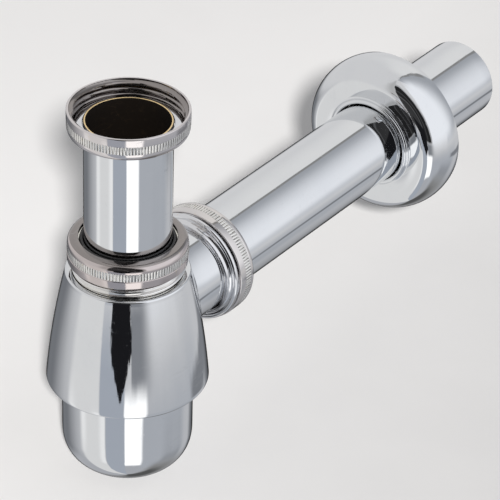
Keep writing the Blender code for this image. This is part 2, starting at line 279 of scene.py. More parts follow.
# Plating over polished brass: faint clouding and tint, wiped marks, and slow waves from the buffing wheel.
CHROME = (0.8, 0.81, 0.82)
WORN_BRASS = (0.78, 0.66, 0.47)
SCRATCHED = (0.6, 0.6, 0.62)
takes = {"Vector": None, "Color": (*CHROME, 1), "Roughness": 0.03, "Waves": 0.1, "Turning": 0.1,
         "Scratches": 1.0, "Wear": 0.5}
plating, ends, out = new_group("plating", takes, ["Color", "Roughness", "Normal"])
given = ends.outputs
here = given["Vector"]
ring = use(plating, rings, {"Vector": here}).outputs["Vector"]
clouds = noise(plating, here, 55.0, 4.0, 0.6)
smears = noise(plating, ring, 160.0, 5.0, 0.65)
marks = mask(plating, scratches, here, given["Scratches"])
worn = mask(plating, wear, here, given["Wear"])
cloudy = fit(plating, clouds, 0.35, 0.75, 0.0, 0.3)
shade = blend(plating, cloudy, (1, 1, 1), (0.9, 0.91, 0.935))
tinted = add(plating, "ShaderNodeVectorMath", {0: given["Color"], 1: shade}, operation="MULTIPLY")
bared = blend(plating, product(plating, worn, 0.55), tinted.outputs[0], WORN_BRASS)
bared = blend(plating, product(plating, marks, 0.2), bared, SCRATCHED)
plating.links.new(bared, out.inputs["Color"])
rough = calc(plating, "ADD", given["Roughness"], fit(plating, smears, 0.35, 0.8, 0.0, 0.035))
rough = calc(plating, "ADD", rough, product(plating, marks, 0.12))
rough = calc(plating, "ADD", rough, product(plating, worn, 0.15))
plating.links.new(rough, out.inputs["Roughness"])
buffed = bumped(plating, given["Waves"], 0.002, noise(plating, here, 34.0, 1.0))
cut = bumped(plating, given["Turning"], 0.00004, noise(plating, ring, 2600.0, 2.0, 0.6), buffed)
scored = bumped(plating, 0.12, 0.00002, marks, cut, invert=True)
plating.links.new(scored, out.inputs["Normal"])


def plated(name, tint, roughness, waves, turning, scratched, worn, hollow_shade=0.0):
    """Chrome plate on brass; the last argument paints the hollows of a knurl, a thread or a groove darker,
    as painted shade, and makes them duller.
    """
    made, tree, shader, where = new_material(name)
    skin = use(tree, plating, {
        "Vector": where, "Color": (*tint, 1), "Roughness": roughness, "Waves": waves, "Turning": turning,
        "Scratches": scratched, "Wear": worn}).outputs
    # Concave places, found by the mesh's pointiness, are painted dark as painted shade and made rougher.
    hollow = fit(tree, add(tree, "ShaderNodeNewGeometry").outputs["Pointiness"], 0.4, 0.49, hollow_shade, 0.0)
    tree.links.new(blend(tree, hollow, skin["Color"], (0.16, 0.14, 0.125)), shader["Base Color"])
    tree.links.new(calc(tree, "ADD", skin["Roughness"], product(tree, hollow, 0.3)), shader["Roughness"])
    tree.links.new(skin["Normal"], shader["Normal"])
    shader["Metallic"].default_value = 1
    return made


def brassy(name, clean, tarnished, roughness, tarnish):
    """Bare brass: tarnish (0 to 1) lays a dull brown film over it in clouds; turning marks show through."""
    made, tree, shader, where = new_material(name)
    ring = use(tree, rings, {"Vector": where}).outputs["Vector"]
    marks = mask(tree, scratches, where, 1.0)
    worn = mask(tree, wear, where, 1.0)
    film = fit(tree, noise(tree, where, 140.0, 5.0, 0.6), 0.62 - 0.5 * tarnish, 0.92 - 0.5 * tarnish)
    colour = blend(tree, film, clean, tarnished)
    colour = blend(tree, product(tree, calc(tree, "MAXIMUM", marks, worn), 0.5), colour, clean)
    tree.links.new(colour, shader["Base Color"])
    tree.links.new(fit(tree, film, 0.0, 1.0, roughness, roughness + 0.3), shader["Roughness"])
    lathe = calc(tree, "ADD", noise(tree, ring, 2200.0, 2.0, 0.6), product(tree, marks, -0.6))
    tree.links.new(bumped(tree, 0.25, 0.00005, lathe), shader["Normal"])
    shader["Metallic"].default_value = 1.0 - 0.5 * tarnish
    return made


tube_chrome = plated("tube_chrome", CHROME, 0.025, 0.05, 0.03, 0.6, 0.5)
# The bore's brass is painted near black: painted shade inside the tube, over real tarnish clouds.
bore_painted_shade = brassy("bore_painted_shade", (0.05, 0.035, 0.02), (0.012, 0.009, 0.007), 0.45, 1.0)
lip_brass = brassy("lip_brass", (0.92, 0.7, 0.38), (0.6, 0.42, 0.2), 0.2, 0.2)

low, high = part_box("inlet_tube")
tube_r = high.x
TUBE_WALL = 0.8 * MM
bore_r = tube_r - TUBE_WALL
LIP_ROUND = 0.25 * MM
CUT_EASE = 0.1 * MM
outline = rounded([(bore_r, low.z, CUT_EASE), (tube_r, low.z, CUT_EASE), (tube_r, high.z, LIP_ROUND * 1.4),
                   (bore_r, high.z, LIP_ROUND)])


def inlet_finish(radius, height):
    if radius < bore_r + LIP_ROUND and height < high.z - LIP_ROUND / 2:
        return 1
    return 2 if height > high.z - LIP_ROUND * 0.8 and radius < tube_r - 0.15 * MM else 0


TUBE_FINISHES = [tube_chrome, bore_painted_shade, lip_brass]
inlet_tube = turned("inlet_tube_skin", spaced(outline, 4 * MM), TUBE_FINISHES, finish_at=inlet_finish)
stands_for(inlet_tube, "inlet_tube")

# ---- Collar and glide ring ---------------------------------------------------------------------
# Turned brass collar brazed round the tube under its lip, chromed flat on top, where a washer seats.
# The thin nylon ring below it lets the union nut turn without dragging on it.


def moulded(name, pale, dark, roughness, grain, dust):
    """Moulded rubber or nylon: fine grain, slow clouds of colour, rubbed edges and a little dust."""
    made, tree, shader, where = new_material(name)
    clouds = noise(tree, where, 90.0, 4.0, 0.6)
    fine = noise(tree, where, 2400.0, 3.0, 0.7)
    worn = mask(tree, wear, where, 1.0)
    marks = mask(tree, scratches, where, 1.0)
    colour = blend(tree, fit(tree, clouds, 0.3, 0.7), dark, pale)
    specks = fit(tree, noise(tree, where, 1300.0, 2.0), 0.62, 0.74, 0.0, dust)
    colour = blend(tree, specks, colour, (0.42, 0.4, 0.37))
    rubbed = product(tree, calc(tree, "MAXIMUM", worn, marks), 0.35)
    colour = blend(tree, rubbed, colour, tuple(min(1, part * 2.2) for part in pale))
    tree.links.new(colour, shader["Base Color"])
    tree.links.new(fit(tree, clouds, 0.25, 0.75, roughness - 0.08, roughness + 0.1), shader["Roughness"])
    height = calc(tree, "SUBTRACT", fine, product(tree, marks, 0.5))
    tree.links.new(bumped(tree, grain, 0.00006, height), shader["Normal"])
    return made


ring_chrome = plated("ring_chrome", (0.8, 0.8, 0.81), 0.05, 0.05, 0.12, 0.8, 0.8, 0.4)
nylon = moulded("nylon", (0.78, 0.77, 0.72), (0.7, 0.68, 0.62), 0.38, 0.15, 0.1)
low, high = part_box("inlet_tube_collar")
RING_GAP = 0.3 * MM
collar = ring_piece("collar", tube_r + RING_GAP, high.x, low.z, high.z, ring_chrome)
stands_for(collar, "inlet_tube_collar")
low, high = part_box("inlet_glide_ring")
glide_ring = ring_piece("glide_ring", tube_r + RING_GAP, high.x, low.z, high.z, nylon)
stands_for(glide_ring, "inlet_glide_ring")

# ---- Nuts --------------------------------------------------------------------------------------
# Three nuts turned from brass to one pattern and plated: a smooth band at the open edge, a straight-cut
# knurl, and a rounded shoulder with a hole for the tube. Inside, each has the right-hand G 1 1/4 thread.

# Each nut's tint also carries painted shade: the neck nut is painted darker and warmer than the others,
# though all three wear the same plate.
NUT_TINTS_WITH_PAINTED_SHADE = {
    "union_nut": (0.74, 0.7, 0.69),
    "neck_nut": (0.64, 0.575, 0.557),
    "branch_nut": (0.77, 0.735, 0.715),
}
# The inside of each nut, its thread, floor and hole, is the nut's plate painted dark: painted shade inside
# the nut.
thread_painted_shade = plated("thread_painted_shade", (0.34, 0.31, 0.295), 0.1, 0.06, 0.25, 1.0, 0.6, 0.9)
knurl_plate = plated("knurl_plate", (0.88, 0.86, 0.82), 0.24, 0.06, 0.3, 1.0, 0.9, 0.5)
tree = knurl_plate.node_tree
shader = tree.nodes["Principled BSDF"].inputs
where = add(tree, "ShaderNodeTexCoord").outputs["Object"]
around = use(tree, rings, {"Vector": where}).outputs["Turn"]
KNURL_TEETH = 120
# The bottom of each knurl groove is painted dark, in patches: painted shade in the grooves.
groove_painted_shade = fit(tree, calc(tree, "COSINE", product(tree, around, KNURL_TEETH)), 0.35, 0.95)
groove_shade_patches = fit(tree, noise(tree, where, 420.0, 3.0), 0.35, 0.6, 0.25, 0.95)
clean = shader["Base Color"].links[0].from_socket
film = blend(tree, product(tree, groove_painted_shade, groove_shade_patches), clean, (0.1, 0.085, 0.075))
tree.links.new(film, shader["Base Color"])
PITCH = 2.309 * MM
NUT_ROOT_R = 21.1 * MM
UNION_CREST_R = 19.7 * MM
SLIP_NUT_CREST_R = 20.2 * MM
NUT_LIP = 1.6 * MM
NUT_HOLE_GAP = 1.9 * MM
HOLE_RIM = 0.9 * MM
SMOOTH_BAND = 3.2 * MM
KNURL_BAND = 3.0 * MM
KNURL_DEPTH = 0.3 * MM
BAND_GROOVE = 0.16 * MM
ROWS_PER_TURN = 14
NUT_STEPS = KNURL_TEETH * 4


def screw(height, angles, start):
    """0 at the root of a right-hand thread and 1 at its crest, at each angle."""
    phase = (height - start) / PITCH - angles / (2 * math.pi)
    return 0.5 + 0.5 * np.cos(2 * math.pi * phase)


def between(value, low, high, fade):
    """1 between two limits, and 0 past a fade outside them."""
    return min(max((value - low) / fade + 1, 0), 1) * min(max((high - value) / fade + 1, 0), 1)


def nut(name, node, crest_r, opens_up, axis_centre=0.0):
    """A nut of the common pattern in the place of a CAD node, with its open edge up or down its own axis."""
    low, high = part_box(node)
    along = 1 if axis_centre else 2
    bottom, top = low[along], high[along]
    root_r, outer_r = NUT_ROOT_R, high.x
    edge, towards = (top, -1) if opens_up else (bottom, 1)
    depth = top - bottom
    hole_r = tube_r + NUT_HOLE_GAP
    floor = depth - NUT_LIP
    knurl_end = SMOOTH_BAND + KNURL_BAND
    outside = rounded([(root_r, 0, 0.1 * MM), (outer_r, 0, 0.35 * MM), (outer_r, SMOOTH_BAND, 0)])[:-1]
    groove = BAND_GROOVE
    cut_r = outer_r - groove
    outside += [(outer_r, SMOOTH_BAND - 2 * groove), (cut_r, SMOOTH_BAND - groove), (cut_r, SMOOTH_BAND)]
    outside += [(outer_r, SMOOTH_BAND + groove), (outer_r, knurl_end - groove)]
    outside += [(cut_r, knurl_end), (outer_r - groove * 1.2, knurl_end + groove)]
    rim = hole_r + HOLE_RIM
    shoulder_foot = knurl_end + groove
    width, rise = outer_r - 0.1 * MM - rim, depth - shoulder_foot
    for step in range(1, 17):
        angle = math.radians(90 * step / 16)
        height = shoulder_foot + rise * math.sin(angle) ** 0.9
        outside.append((rim + width * math.cos(angle) ** 0.85, height))
    inside = rounded([(rim, depth, 0), (hole_r, depth, 0.3 * MM), (hole_r, floor, 0.15 * MM),
                      (root_r, floor, 0.1 * MM), (root_r, 0, 0)])[1:-1]
    rows = ROWS_PER_TURN * int((floor - 1.0 * MM) / PITCH)
    thread = [(root_r, floor - 0.4 * MM - (floor - 0.8 * MM) * row / rows) for row in range(rows + 1)]
    outline = [(radius, edge + towards * height) for radius, height in outside + inside + thread]

    def swell(radius, height, angles):
        deep = (height - edge) * towards
        if radius > root_r + 0.2 * MM:
            knurl = between(deep, SMOOTH_BAND + groove, knurl_end - groove, 0.05 * MM)
            return radius - knurl * KNURL_DEPTH * np.abs(np.cos(KNURL_TEETH * angles / 2)) ** 1.5
        if abs(radius - root_r) < 1e-6:
            cut = between(deep, 1.1 * MM, floor - 1.1 * MM, 0.7 * MM)
            return radius - cut * (root_r - crest_r) * screw(height, angles, edge)
        return np.full(len(angles), radius)

    def finish_at(radius, height):
        deep = (height - edge) * towards
        if radius < root_r + 0.05 * MM and deep > 0.4 * MM:
            return 1
        return 2 if radius > root_r + 0.3 * MM and SMOOTH_BAND < deep < knurl_end else 0

    skin = plated(name + "_plate", NUT_TINTS_WITH_PAINTED_SHADE[name], 0.06, 0.06, 0.15, 1.0, 0.9, 0.6)
    piece = turned(name, outline, [skin, thread_painted_shade, knurl_plate], NUT_STEPS, swell, finish_at)
    if axis_centre:
        piece.rotation_euler.x = -math.pi / 2
        piece.location.z = axis_centre
    return stands_for(piece, node)


low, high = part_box("outlet_tube")
outlet_z = (low.z + high.z) / 2
nut("union_nut", "inlet_union_nut", UNION_CREST_R, True)
nut("neck_nut", "body_nut", SLIP_NUT_CREST_R, False)
nut("branch_nut", "outlet_nut", SLIP_NUT_CREST_R, False, outlet_z)

# ---- Seals and washers -------------------------------------------------------------------------
# Moulded black rubber seals that grip the two tubes, each with a sleeve up through a hard nylon washer, so
# that only the sleeve shows in the nut's hole. The cup's flat ring seals it against the seat in the bell.


rubber = moulded("rubber", (0.022, 0.021, 0.021), (0.01, 0.01, 0.011), 0.5, 0.3, 0.25)


def on_outlet(piece):
    piece.rotation_euler.x = -math.pi / 2
    piece.location.z = outlet_z
    return piece


SEAL_HEIGHT = 1.9 * MM
SLEEVE_WALL = 1.1 * MM
SEAL_EASE = 0.2 * MM
SLEEVE_EASE = 0.35 * MM
WASHER_GAP = 0.3 * MM
for name, node, along in (("neck_rubber", "neck_seal", 2), ("branch_rubber", "outlet_seal", 1)):
    low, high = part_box(node)
    inner, sleeve = tube_r + RING_GAP, tube_r + RING_GAP + SLEEVE_WALL
    foot, step_up, top = low[along], low[along] + SEAL_HEIGHT, high[along]
    corners = [(inner, foot, SEAL_EASE), (high.x, foot, SEAL_EASE), (high.x, step_up, SEAL_EASE),
               (sleeve, step_up, SEAL_EASE), (sleeve, top, SLEEVE_EASE), (inner, top, SLEEVE_EASE)]
    piece = turned(name, rounded(corners), [rubber])
    stands_for(on_outlet(piece) if along == 1 else piece, node)
washers = ("neck_washer", "neck_slip_washer", 2), ("branch_washer", "outlet_slip_washer", 1)
for name, node, along in washers:
    low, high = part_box(node)
    piece = ring_piece(name, sleeve + WASHER_GAP, high.x, low[along], high[along], nylon)
    stands_for(on_outlet(piece) if along == 1 else piece, node)
low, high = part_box("cup_seal")
CUP_SEAL_WIDTH = 2.16 * MM
cup_rubber = ring_piece("cup_rubber", high.x - CUP_SEAL_WIDTH, high.x, low.z, high.z, rubber)
stands_for(cup_rubber, "cup_seal")

# ---- Neck ring ---------------------------------------------------------------------------------
# Turned ring with the male thread for the neck nut, brazed into the top of the bell. Two turns show.

thread_plate = plated("thread_plate", (0.9, 0.89, 0.87), 0.07, 0.05, 0.12, 0.8, 0.9, 0.75)
low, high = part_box("neck_ring")
NECK_BORE_GAP = 1.0 * MM
neck_bore = tube_r + NECK_BORE_GAP
SKIRT_R = 20.2 * MM
bell_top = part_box("trap_body")[1].z
THREAD_ROOT_R, THREAD_CREST_R = 19.6 * MM, 20.95 * MM
THREAD_DEEP = THREAD_CREST_R - THREAD_ROOT_R
THREAD_CHAMFER = 0.3 * MM
neck_nut_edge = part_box("body_nut")[0].z
rows = ROWS_PER_TURN * 4
thread_foot = bell_top + 0.35 * MM
thread_rise = high.z - THREAD_CHAMFER - thread_foot
outline = [(neck_bore, low.z), (SKIRT_R, low.z), (SKIRT_R, thread_foot)]
outline += [(THREAD_ROOT_R, thread_foot + thread_rise * row / rows) for row in range(rows + 1)]
outline += [(THREAD_ROOT_R - THREAD_CHAMFER, high.z), (neck_bore, high.z)]


def neck_swell(radius, height, angles):
    if abs(radius - THREAD_ROOT_R) > 1e-6:
        return np.full(len(angles), radius)
    full = between(height, thread_foot + 0.9 * MM, high.z - 1.2 * MM, 0.8 * MM)
    return radius + full * THREAD_DEEP * (1 - screw(height, angles, neck_nut_edge))


neck_ring = turned("neck_thread", outline, [thread_plate], 320, neck_swell)
stands_for(neck_ring, "neck_ring")

# ---- Bell --------------------------------------------------------------------------------------
# Spun brass bell, polished and chromed: a rounded top edge, a shallow swelling side, and a rolled lower edge
# round the hole that the cup passes through. A hole in its side takes the outlet branch.

spun_chrome = plated("spun_chrome", CHROME, 0.022, 0.09, 0.03, 0.7, 0.6, 0.3)
low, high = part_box("trap_body")
bell_r = high.x
bell_bottom = low.z
BELL_TOP_R = 22.9 * MM
BELL_EDGE = 0.8 * MM
BELL_BULGE = 0.8 * MM
BELL_WALL = 1.0 * MM
BELL_HOLE_R = 24.91 * MM
BELL_BORE_R = 20.5 * MM
bell_widest = bell_bottom + BELL_EDGE


def bell_side(steps=40):
    top, widest = Vector((BELL_TOP_R, bell_top - BELL_EDGE)), Vector((bell_r, bell_widest))
    chord = widest - top
    out = Vector((-chord.y, chord.x)).normalized()
    shares = [step / steps for step in range(steps + 1)]
    return [tuple(top + chord * share + out * BELL_BULGE * 4 * share * (1 - share)) for share in shares]


def bell_radius(height):
    side = bell_side()
    return float(np.interp(-height, [-h for _, h in side], [r for r, _ in side]))


def arc(centre_r, centre_h, radius, start, end, steps=8):
    angles = [math.radians(start + (end - start) * step / steps) for step in range(steps + 1)]
    return [(centre_r + radius * math.cos(a), centre_h + radius * math.sin(a)) for a in angles]


def moved_in(path, distance):
    """The path moved to the right of its direction of travel."""
    points = [Vector(point) for point in path]
    moved = []
    for i, here in enumerate(points):
        before = here - points[i - 1] if i else points[1] - here
        after = points[i + 1] - here if i + 1 < len(points) else before
        way = (before.normalized() + after.normalized()).normalized()
        moved.append(tuple(here + Vector((way.y, -way.x)) * distance))
    return moved


skin = [(BELL_BORE_R, bell_top)] + arc(BELL_TOP_R - BELL_EDGE, bell_top - BELL_EDGE, BELL_EDGE, 90, 15)
skin += bell_side()
skin += arc(bell_r - BELL_EDGE, bell_widest, BELL_EDGE, -10, -90) + [(BELL_HOLE_R, bell_bottom)]
lining = [(BELL_BORE_R, bell_top - BELL_WALL), (BELL_TOP_R - BELL_WALL, bell_top - BELL_WALL - BELL_EDGE)]
lining += moved_in(bell_side(20), BELL_WALL)[1:-1]
lining += [(bell_r - BELL_WALL, bell_bottom + BELL_WALL), (BELL_HOLE_R, bell_bottom + BELL_WALL)]
bell = turned("bell", skin + lining[::-1], [spun_chrome], 256)
BRANCH_BORE = 16.3 * MM
DRILL = 60 * MM
hole = on_outlet(turned("branch_opening", [(0, 0), (BRANCH_BORE, 0), (BRANCH_BORE, DRILL), (0, DRILL)], []))
cut = bell.modifiers.new("branch_opening", "BOOLEAN")
cut.operation = "DIFFERENCE"
cut.object = hole
cut.solver = "EXACT"
bpy.context.view_layer.update()
drilled = bell.evaluated_get(bpy.context.evaluated_depsgraph_get())
opened = bpy.data.meshes.new_from_object(drilled)
bell.modifiers.clear()
bell.data = opened
bpy.data.objects.remove(hole)
stands_for(bell, "trap_body")

# ---- Outlet branch -----------------------------------------------------------------------------
# Short tube brazed over the bell's hole, with the braze dressed to a small fillet before plating.

low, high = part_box("outlet_branch")
branch_r = high.x
branch_end = high.y
BRAZE = 1.1 * MM
STUB_STEPS = 192


def bell_surface(x, height):
    """How far from the inlet axis the bell's skin is along the outlet, at this place across it."""
    return math.sqrt(bell_radius(height) ** 2 - x * x)


angles = [2 * math.pi * step / STUB_STEPS for step in range(STUB_STEPS)]
form = bmesh.new()
rows = []


def stub_row(radius, off_bell, share):
    """A row of points round the stub, this share of the way from just off the bell to the stub's end."""
    row = []
    for angle in angles:
        x, z = radius * math.cos(angle), outlet_z - radius * math.sin(angle)
        start = bell_surface(x, z) + off_bell
        row.append(form.verts.new((x, start + (branch_end - start) * share, z)))
    rows.append(row)


for step in range(9):
    bend = math.pi / 2 * step / 8
    stub_row(branch_r + BRAZE * (1 - math.sin(bend)), BRAZE * (1 - math.cos(bend)), 0)
for share in (0.25, 0.5, 0.75, 1):
    stub_row(branch_r, BRAZE, share)
for share in (1, 0.5, 0):
    stub_row(BRANCH_BORE, 0.02 * MM, share)
for i, row in enumerate(rows):
    following = rows[(i + 1) % len(rows)]
    for k in range(STUB_STEPS):
        form.faces.new((row[k], row[(k + 1) % STUB_STEPS], following[(k + 1) % STUB_STEPS], following[k]))
bmesh.ops.recalc_face_normals(form, faces=form.faces)
mesh = bpy.data.meshes.new("branch")
form.to_mesh(mesh)
form.free()
mesh.shade_smooth()
mesh.set_sharp_from_angle(angle=math.radians(40))
mesh.materials.append(spun_chrome)
branch = bpy.data.objects.new("branch", mesh)
bpy.context.scene.collection.objects.link(branch)
stands_for(branch, "outlet_branch")

# ---- Branch spigot -----------------------------------------------------------------------------
# Turned ring brazed on the branch: a hollow fillet, a round bead just short of the nut, then the thread.

low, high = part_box("outlet_spigot")
bead_outer = high.x
BEAD_R = 1.15 * MM
nut_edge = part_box("outlet_nut")[0].y
bead_y = nut_edge - 0.3 * MM - BEAD_R
bead_centre = bead_outer - BEAD_R
fillet_start = low.y
foot = branch_r + 0.05 * MM
profile = [(branch_r + RING_GAP - 0.25 * MM, fillet_start)]
hollow_r = bead_centre - BEAD_R * 0.95 - foot
hollow_h = bead_y - fillet_start
for step in range(13):
    angle = math.radians(90 * step / 12)
    profile.append((foot + hollow_r * (1 - math.cos(angle)), fillet_start + hollow_h * math.sin(angle)))
profile += arc(bead_centre, bead_y, BEAD_R, 190, 440, 20)
spigot_foot = bead_y + BEAD_R
spigot_end = high.y
profile += [(THREAD_ROOT_R, spigot_foot + 0.1 * MM)]
rows = ROWS_PER_TURN * 2
thread_start, thread_end = spigot_foot + 0.3 * MM, spigot_end - 0.3 * MM
for row in range(rows + 1):
    profile.append((THREAD_ROOT_R, thread_start + (thread_end - thread_start) * row / rows))
profile += [(THREAD_ROOT_R - THREAD_CHAMFER, spigot_end), (branch_r + RING_GAP, spigot_end)]


def spigot_swell(radius, height, angles):
    if abs(radius - THREAD_ROOT_R) > 1e-6:
        return np.full(len(angles), radius)
    full = between(height, spigot_foot + 1.0 * MM, spigot_end - 1.0 * MM, 0.7 * MM)
    return radius + full * THREAD_DEEP * (1 - screw(height, angles, nut_edge))


spigot = on_outlet(turned("branch_spigot", profile, [ring_chrome], 320, spigot_swell))
stands_for(spigot, "outlet_spigot")

# ---- Cup seat ring and cup ---------------------------------------------------------------------
# Brass ring brazed inside the bell's floor, threaded for the cup. The cup is a deep pressing, polished and
# chromed, with a threaded brass ring shrunk on its neck. The pressing leaves its skin a little wavy.

brass = brassy("brass", (0.8, 0.6, 0.3), (0.45, 0.3, 0.14), 0.25, 0.45)
SEAT_WALL = 3.1 * MM
CUP_RING_WALL = 0.96 * MM
brass_rings = ("seat_ring", "cup_seat_ring", SEAT_WALL), ("cup_ring", "cup_thread_ring", CUP_RING_WALL)
for name, node, wall in brass_rings:
    low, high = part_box(node)
    stands_for(ring_piece(name, high.x - wall, high.x, low.z, high.z, brass), node)

low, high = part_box("bottle_cup")
cup_r = high.x
CUP_WALL = 0.9 * MM
CUP_DOME = 17.1 * MM
CUP_SQUARENESS = 2.5
CUP_NECK_R = 22.9 * MM
CUP_EASE = 0.3 * MM
shoulder = bell_bottom + BELL_WALL


def dome(radius, depth, steps=48):
    points = []
    for step in range(steps + 1):
        angle = math.pi / 2 * step / steps
        cos, sin = math.cos(angle) if step < steps else 0.0, math.sin(angle)
        power = 2 / CUP_SQUARENESS
        points.append((radius * cos ** power, low.z + CUP_DOME - depth * sin ** power))
    return points


neck = rounded([(CUP_NECK_R - CUP_WALL, high.z, 0.1 * MM), (CUP_NECK_R, high.z, 0.2 * MM),
                (CUP_NECK_R, shoulder + 0.3 * MM, CUP_EASE), (cup_r, shoulder - 0.6 * MM, CUP_EASE),
                (cup_r, low.z + CUP_DOME, 0)])[:-1]
inner = dome(cup_r - CUP_WALL, CUP_DOME - CUP_WALL)[::-1]
inner += [(cup_r - CUP_WALL, shoulder - 1.0 * MM), (CUP_NECK_R - CUP_WALL, shoulder)]
outline = neck + dome(cup_r, CUP_DOME) + inner
pressed_chrome = plated("pressed_chrome", CHROME, 0.03, 0.2, 0.03, 0.9, 0.6, 0.3)
cup = turned("cup", outline, [pressed_chrome], 256)
stands_for(cup, "bottle_cup")

# ---- Outlet tube -------------------------------------------------------------------------------
# Drawn brass tube like the inlet's, chromed outside, plain at both ends, that slides in the branch.

low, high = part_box("outlet_tube")
OUTER_EASE = 0.3 * MM
outline = rounded([(bore_r, low.y, EASED), (tube_r, low.y, EASED), (tube_r, high.y, OUTER_EASE),
                   (bore_r, high.y, EASED)])


def outlet_finish(radius, height):
    if radius < bore_r + EASED and low.y + EASED < height < high.y - EASED / 2:
        return 1
    return 2 if abs(height - high.y) < 0.1 * MM and radius < tube_r - 0.2 * MM else 0


outlet_tube = turned("outlet_tube_skin", spaced(outline, 5 * MM), TUBE_FINISHES, finish_at=outlet_finish)
stands_for(on_outlet(outlet_tube), "outlet_tube")

# ---- Wall flange -------------------------------------------------------------------------------
# Pressed brass flange, polished and chromed: a rolled lip round the tube, a shallow dish round that, then a
# full round face down to the rim on the wall. A rubber ring behind the lip grips the tube.

low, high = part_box("wall_flange")
flange_r = high.x
flange_mouth, flange_back = low.y, high.y
FLANGE_WALL = 0.9 * MM
LIP_GAP = 0.45 * MM
HOLLOW_R = 0.8 * MM
CREST_R = 24.8 * MM
DISH = 0.84 * MM
RIM_BACK = 5.6 * MM
TUCK = 0.9 * MM
lip_inner = tube_r + LIP_GAP
hollow_centre = lip_inner + 2 * FLANGE_WALL + HOLLOW_R
crest = flange_mouth + FLANGE_WALL
widest = flange_back - RIM_BACK
face = arc(lip_inner + FLANGE_WALL, crest, FLANGE_WALL, 200, 360, 20)
face += arc(hollow_centre, crest + DISH - HOLLOW_R, HOLLOW_R, 180, 107, 10)
first_r, first_h = face[-1]
for step in range(1, 17):
    share = step / 17
    face.append((first_r + (CREST_R - first_r) * share, crest + (first_h - crest) * (1 - share) ** 2))
for step in range(49):
    angle = math.radians(-90 + 90 * step / 48)
    height = widest + (widest - crest) * math.sin(angle)
    face.append((CREST_R + (flange_r - CREST_R) * math.cos(angle), height))
for step in range(1, 13):
    share = step / 12
    face.append((flange_r - TUCK * share ** 2, widest + RIM_BACK * share))
back = moved_in(face, -FLANGE_WALL)
back[-1] = (back[-1][0], flange_back)
flange = turned("flange", face + back[::-1], [spun_chrome], 256)
stands_for(on_outlet(flange), "wall_flange")
low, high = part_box("flange_grip_ring")
grip = ring_piece("flange_grip", tube_r + RING_GAP, high.x, low.y, high.y, rubber)
stands_for(on_outlet(grip), "flange_grip_ring")

# ---- Studio ------------------------------------------------------------------------------------
# A pale paper floor under the cup, a soft lamp beside the camera, and panels, cards and dim corners all
# round, which are what the chrome shows. The floor is left out of the reflections, so that they stay clear.

FLOOR = 6.0
FLOOR_GAP = 0.5 * MM
floor_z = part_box("bottle_cup")[0].z - FLOOR_GAP
corners = [(x, y, floor_z) for x, y in ((-FLOOR, -FLOOR), (FLOOR, -FLOOR), (FLOOR, FLOOR), (-FLOOR, FLOOR))]
floor_mesh = bpy.data.meshes.new("floor")
floor_mesh.from_pydata(corners, [], [(0, 1, 2, 3)])
floor = bpy.data.objects.new("floor", floor_mesh)
bpy.context.scene.collection.objects.link(floor)
paper, tree, shader, where = new_material("paper")
# The paper is painted darker towards one side: a painted fall-off of light, with a faint real mottle of tone
# over it.
PAINTED_FALLOFF_WAY = (3.6, -0.25, 0)
falloff_along = add(tree, "ShaderNodeVectorMath", {0: where, 1: PAINTED_FALLOFF_WAY}, operation="DOT_PRODUCT").outputs["Value"]
painted_falloff = fit(tree, falloff_along, -0.5, 0.9, kind="LINEAR")
mottle = fit(tree, noise(tree, where, 14.0, 4.0), 0.3, 0.7, -0.03, 0.03)
tone = blend(tree, calc(tree, "ADD", painted_falloff, mottle), (0.92, 0.91, 0.9), (0.54, 0.537, 0.537))
tree.links.new(tone, shader["Base Color"])
shader["Roughness"].default_value = 0.9
shader["Specular IOR Level"].default_value = 0.1
tree.links.new(bumped(tree, 0.1, 0.0002, noise(tree, where, 900.0, 4.0)), shader["Normal"])
floor_mesh.materials.append(paper)
floor.visible_glossy = False

world = bpy.data.worlds.new("studio")
bpy.context.scene.world = world
world.use_nodes = True
tree = world.node_tree
towards = add(tree, "ShaderNodeTexCoord").outputs["Generated"]
WOBBLE = 0.05
wobble = add(tree, "ShaderNodeTexNoise", {"Vector": towards, "Scale": 5.0, "Detail": 1.0}).outputs["Color"]


def vector(operation, *inputs):
    return add(tree, "ShaderNodeVectorMath", dict(enumerate(inputs)), operation=operation).outputs[0]


unit = vector("SUBTRACT", wobble, (0.5, 0.5, 0.5))
unit = vector("NORMALIZE", vector("MULTIPLY_ADD", unit, (WOBBLE, WOBBLE, WOBBLE), towards))
x, y, z = add(tree, "ShaderNodeSeparateXYZ", {"Vector": unit}).outputs
azimuth = product(tree, calc(tree, "ARCTAN2", y, x), math.degrees(1))
elevation = product(tree, calc(tree, "ARCSINE", z), math.degrees(1))


def degrees_past(centre):
    """Degrees of azimuth east of a centre, from -180 to 180."""
    return calc(tree, "WRAP", calc(tree, "SUBTRACT", azimuth, centre), 180, -180)


def panel(light, west, east, low, high, soft_sides, soft_ends, level, tint=(1, 1, 1)):
    """The studio's light with one more panel: its limits in degrees, how soft they are, and its colour."""
    centre, half = (west + east) / 2, (east - west) / 2
    soft_west, soft_east = soft_sides if isinstance(soft_sides, tuple) else (soft_sides, soft_sides)
    past = degrees_past(centre)
    covered = product(
        tree,
        fit(tree, past, -half - soft_west, -half + soft_west),
        fit(tree, past, half - soft_east, half + soft_east, 1.0, 0.0),
        fit(tree, elevation, low - soft_ends, low + soft_ends),
        fit(tree, elevation, high - soft_ends, high + soft_ends, 1.0, 0.0))
    return blend(tree, covered, light, tuple(level * share for share in tint))


